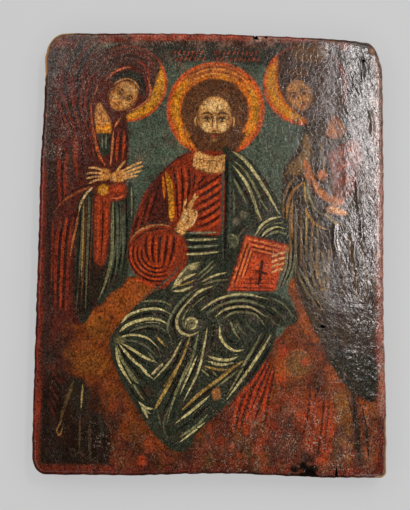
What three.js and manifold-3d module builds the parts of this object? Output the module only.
// An old painted icon panel: one thick softwood board, bowed across its width, with rounded and
// worn edges, four knocked corners, beetle and nail holes, a split and losses along its edges.
// Millimetres. +Z points out of the painted face and +Y to the top of the picture.
// The board lies on its back, on a flat strip along each long edge. The origin is under its middle.
import * as THREE from 'three';
import { mergeVertices } from 'three/addons/utils/BufferGeometryUtils.js';
import Module from 'manifold-3d';

// Board
const boardHeight = 321;
const boardWidth = 250;
const boardThickness = 20.5;
const bowRise = 3.5; // how far the middle of the board stands above its long edges
const restStripWidth = 14; // flat strip of the back under each long edge
const frontRound = 3; // rounding of the painted face's edges
const backRound = 2;
const topEdgeFall = 4.6; // how far the top edge has dropped at its right end
const topEdgeFallLength = 150; // stretch of the top edge that drops, from its right end

// Corners: how far each one is rounded along the width and along the height
const topLeftCorner = { alongWidth: 16, alongHeight: 20 };
const topRightCorner = { alongWidth: 13, alongHeight: 30 };
const bottomLeftCorner = { alongWidth: 10, alongHeight: 14 };
const bottomRightCorner = { alongWidth: 5, alongHeight: 5 };

// The top right corner is rubbed down: its painted edge is rounded more, over a short reach
const rubbedExtraRound = 5;
const rubbedReach = 24;

// Shallow hollows worn into the edges: where their middle is, how long and how deep they are
const bottomHollow = { fromLeft: 134, length: 150, depth: 2 };
const rightHollow = { fromBottom: 124, length: 170, depth: 0.9 };
const leftHollow = { fromBottom: 281, length: 130, depth: 1.6 };

// Holes in the painted face, bored by beetles
const beetleHoleDepth = 13;
const middleBeetleHole = { fromRight: 45.4, fromBottom: 105.9, width: 3.6, height: 2.4 };
const cornerBeetleHole = { fromRight: 15, fromTop: 19.5, width: 3.2, height: 1.6 };

// Open split beside the right edge, running with the grain
const split = { fromRight: 16.2, fromTop: 31.5, width: 1.1, height: 9.5, depth: 7, lean: 4 };

// Nail damage in the top edge: a torn slot beside a round nail hole, under a lost strip of wood
const nailSlot = { fromRight: 94, width: 4.4, height: 2.6, depth: 9, lean: -32 };
const nailHole = { fromRight: 86.4, fromTop: 1.8, diameter: 1.8, depth: 12 };
const lostStrip = { fromRight: 91, length: 11, height: 1.1, depth: 4.5 };

// Losses in the bottom edge, eaten out by woodworm
const bottomCavity = { fromRight: 55, width: 13, height: 7.2, depth: 5 };
const bottomCrack = { fromRight: 36, width: 2.2, height: 7, depth: 4.5 };

// Fineness of the faces and the round cutters
const stepsAcross = 40;
const stepsAlong = 44;
const stepsThrough = 3;
const edgeCrowding = 0.7; // share by which the steps draw together towards the edges
const roundSides = 14;
const cutterOverrun = 2; // how far a cutter starts outside the board
const paintColour = 0x4a1a12;

const halfWidth = boardWidth / 2;
const halfHeight = boardHeight / 2;

// Even steps from -1 to 1 become steps that are finer at both ends.
function crowd(share) {
  return (1 - edgeCrowding) * share + edgeCrowding * Math.sin((share * Math.PI) / 2);
}

function cornerNear(x, y) {
  if (y > 0) return x < 0 ? topLeftCorner : topRightCorner;
  return x < 0 ? bottomLeftCorner : bottomRightCorner;
}

// Where a point lies in its corner's zone: 0 at the zone's inner borders, 1 at the board's edges.
function cornerShares(x, y, corner) {
  const across = (Math.abs(x) - (halfWidth - corner.alongWidth)) / corner.alongWidth;
  const along = (Math.abs(y) - (halfHeight - corner.alongHeight)) / corner.alongHeight;
  return { across, along, inZone: across > 0 && along > 0 };
}

// Pulls the square corner zones into quarter ellipses.
function roundCorner(x, y) {
  const corner = cornerNear(x, y);
  const { across, along, inZone } = cornerShares(x, y, corner);
  if (!inZone) return { x, y };
  const pull = Math.max(across, along) / Math.hypot(across, along);
  return {
    x: Math.sign(x) * (halfWidth - corner.alongWidth * (1 - across * pull)),
    y: Math.sign(y) * (halfHeight - corner.alongHeight * (1 - along * pull)),
  };
}

// Distance from a point of the rounded face to its outline.
function distanceToOutline(x, y) {
  const corner = cornerNear(x, y);
  const { across, along, inZone } = cornerShares(x, y, corner);
  if (!inZone) return Math.min(halfWidth - Math.abs(x), halfHeight - Math.abs(y));
  const reach = Math.hypot(across, along);
  const turn = (across / reach) ** 2;
  return (1 - reach) * (corner.alongWidth * turn + corner.alongHeight * (1 - turn));
}

// A hollow's depth at a distance from its middle, running out smoothly at its ends.
function hollowDepth(hollow, offset) {
  const share = Math.min(1, Math.abs(offset) / (hollow.length / 2));
  return (hollow.depth * (1 + Math.cos(Math.PI * share))) / 2;
}

// Moves a point of the regular outline to the worn one: a fallen top edge and three hollows.
function wearOutline(x, y) {
  const fallShare = Math.max(0, (x - halfWidth + topEdgeFallLength) / topEdgeFallLength);
  const fall = topEdgeFall * fallShare ** 2;
  const rise = hollowDepth(bottomHollow, x + halfWidth - bottomHollow.fromLeft);
  const sideHollow = x > 0 ? rightHollow : leftHollow;
  const pullIn = hollowDepth(sideHollow, y + halfHeight - sideHollow.fromBottom);
  return {
    x: x * (1 - pullIn / halfWidth),
    y: y * (1 - (y > 0 ? fall : rise) / halfHeight),
  };
}

// Height that the bow adds: full in the middle, none at the ends of the bowed width.
function bow(x, bowedHalfWidth) {
  return bowRise * Math.max(0, 1 - (x / bowedHalfWidth) ** 2);
}

// Height of the painted face, away from its rounded edges.
function faceHeight(x) {
  return boardThickness + bow(x, halfWidth);
}

// How far a rounded edge has dropped at a distance from the outline.
function edgeDrop(distance, radius) {
  const inward = Math.min(distance, radius);
  return radius - Math.sqrt(Math.max(0, radius ** 2 - (radius - inward) ** 2));
}

// Rounding of the painted face's edge, with the rubbed corner's extra fading out over its reach.
function frontRoundAt(x, y) {
  const away = Math.hypot(x - halfWidth, y - halfHeight);
  return frontRound + rubbedExtraRound * Math.max(0, 1 - away / rubbedReach);
}

// The whole board without its damage: a box whose points are moved onto the bowed, rounded form.
function boardGeometry() {
  const geometry = new THREE.BoxGeometry(
    boardWidth, boardHeight, boardThickness, stepsAcross, stepsAlong, stepsThrough);
  const points = geometry.getAttribute('position');
  for (let i = 0; i < points.count; i += 1) {
    const flat = roundCorner(
      halfWidth * crowd(points.getX(i) / halfWidth),
      halfHeight * crowd(points.getY(i) / halfHeight));
    const worn = wearOutline(flat.x, flat.y);
    const distance = Math.max(0, distanceToOutline(flat.x, flat.y));
    const front = faceHeight(flat.x) - edgeDrop(distance, frontRoundAt(flat.x, flat.y));
    const back = bow(flat.x, halfWidth - restStripWidth) + edgeDrop(distance, backRound);
    const through = points.getZ(i) / boardThickness + 0.5; // 0 on the back, 1 on the painted face
    points.setXYZ(i, worn.x, worn.y, back + (front - back) * through);
  }
  return geometry;
}

// Height of the top edge on the worn outline.
function topEdgeAt(x) {
  return wearOutline(x, halfHeight).y;
}

// An upright oval cutter at a place on the painted face, sunk into it by its depth.
function ovalCutter({ width, height, depth, lean = 0 }, x, y) {
  const length = depth + cutterOverrun;
  return new THREE.CylinderGeometry(0.5, 0.5, length, roundSides)
    .rotateX(Math.PI / 2)
    .scale(width, height, 1)
    .rotateZ(THREE.MathUtils.degToRad(lean))
    .translate(x, y, faceHeight(x) + cutterOverrun - length / 2);
}

function middleBeetleCutter() {
  const { fromRight, fromBottom } = middleBeetleHole;
  const hole = { ...middleBeetleHole, depth: beetleHoleDepth };
  return ovalCutter(hole, halfWidth - fromRight, fromBottom - halfHeight);
}

function cornerBeetleCutter() {
  const { fromRight, fromTop } = cornerBeetleHole;
  const hole = { ...cornerBeetleHole, depth: beetleHoleDepth };
  return ovalCutter(hole, halfWidth - fromRight, halfHeight - fromTop);
}

function splitCutter() {
  return ovalCutter(split, halfWidth - split.fromRight, halfHeight - split.fromTop);
}

function nailSlotCutter() {
  const x = halfWidth - nailSlot.fromRight;
  return ovalCutter(nailSlot, x, topEdgeAt(x) - nailSlot.height / 2);
}

function nailHoleCutter() {
  const { diameter, depth, fromRight, fromTop } = nailHole;
  const x = halfWidth - fromRight;
  return ovalCutter({ width: diameter, height: diameter, depth }, x, topEdgeAt(x) - fromTop);
}

// The thin strip broken off the top edge, as a box that overlaps the edge by the strip's height.
function lostStripCutter() {
  const x = halfWidth - lostStrip.fromRight;
  const height = lostStrip.height + cutterOverrun;
  const depth = lostStrip.depth + cutterOverrun;
  return new THREE.BoxGeometry(lostStrip.length, height, depth)
    .translate(x, topEdgeAt(x) - lostStrip.height + height / 2,
      faceHeight(x) + cutterOverrun - depth / 2);
}

// An egg-shaped loss centred on the bottom edge of the painted face.
function bottomLossCutter({ fromRight, width, height, depth }) {
  const x = halfWidth - fromRight;
  return new THREE.SphereGeometry(0.5, roundSides, roundSides / 2)
    .scale(width, height * 2, depth * 2)
    .translate(x, wearOutline(x, -halfHeight).y, faceHeight(x));
}

const wasm = await Module();
wasm.setup();

function solidOf(geometry) {
  const bare = geometry.clone();
  bare.deleteAttribute('normal');
  bare.deleteAttribute('uv');
  const merged = mergeVertices(bare);
  return new wasm.Manifold(new wasm.Mesh({
    numProp: 3,
    vertProperties: merged.getAttribute('position').array,
    triVerts: new Uint32Array(merged.index.array),
  }));
}

function geometryOf(solid) {
  const mesh = solid.getMesh();
  const geometry = new THREE.BufferGeometry();
  geometry.setAttribute('position', new THREE.BufferAttribute(mesh.vertProperties, 3));
  geometry.setIndex(new THREE.BufferAttribute(mesh.triVerts, 1));
  geometry.computeVertexNormals();
  return geometry;
}

function paintedBoard() {
  const cutters = [
    middleBeetleCutter(),
    cornerBeetleCutter(),
    splitCutter(),
    nailSlotCutter(),
    nailHoleCutter(),
    lostStripCutter(),
    bottomLossCutter(bottomCavity),
    bottomLossCutter(bottomCrack),
  ];
  const worn = cutters.reduce(
    (solid, cutter) => solid.subtract(solidOf(cutter)), solidOf(boardGeometry()));
  const paint = new THREE.MeshStandardMaterial({ color: paintColour, roughness: 0.35, metalness: 0 });
  const mesh = new THREE.Mesh(geometryOf(worn), paint);
  mesh.name = 'painted_board';
  return mesh;
}

const icon = new THREE.Group();
icon.name = 'icon_panel';
icon.add(paintedBoard());

export default icon;
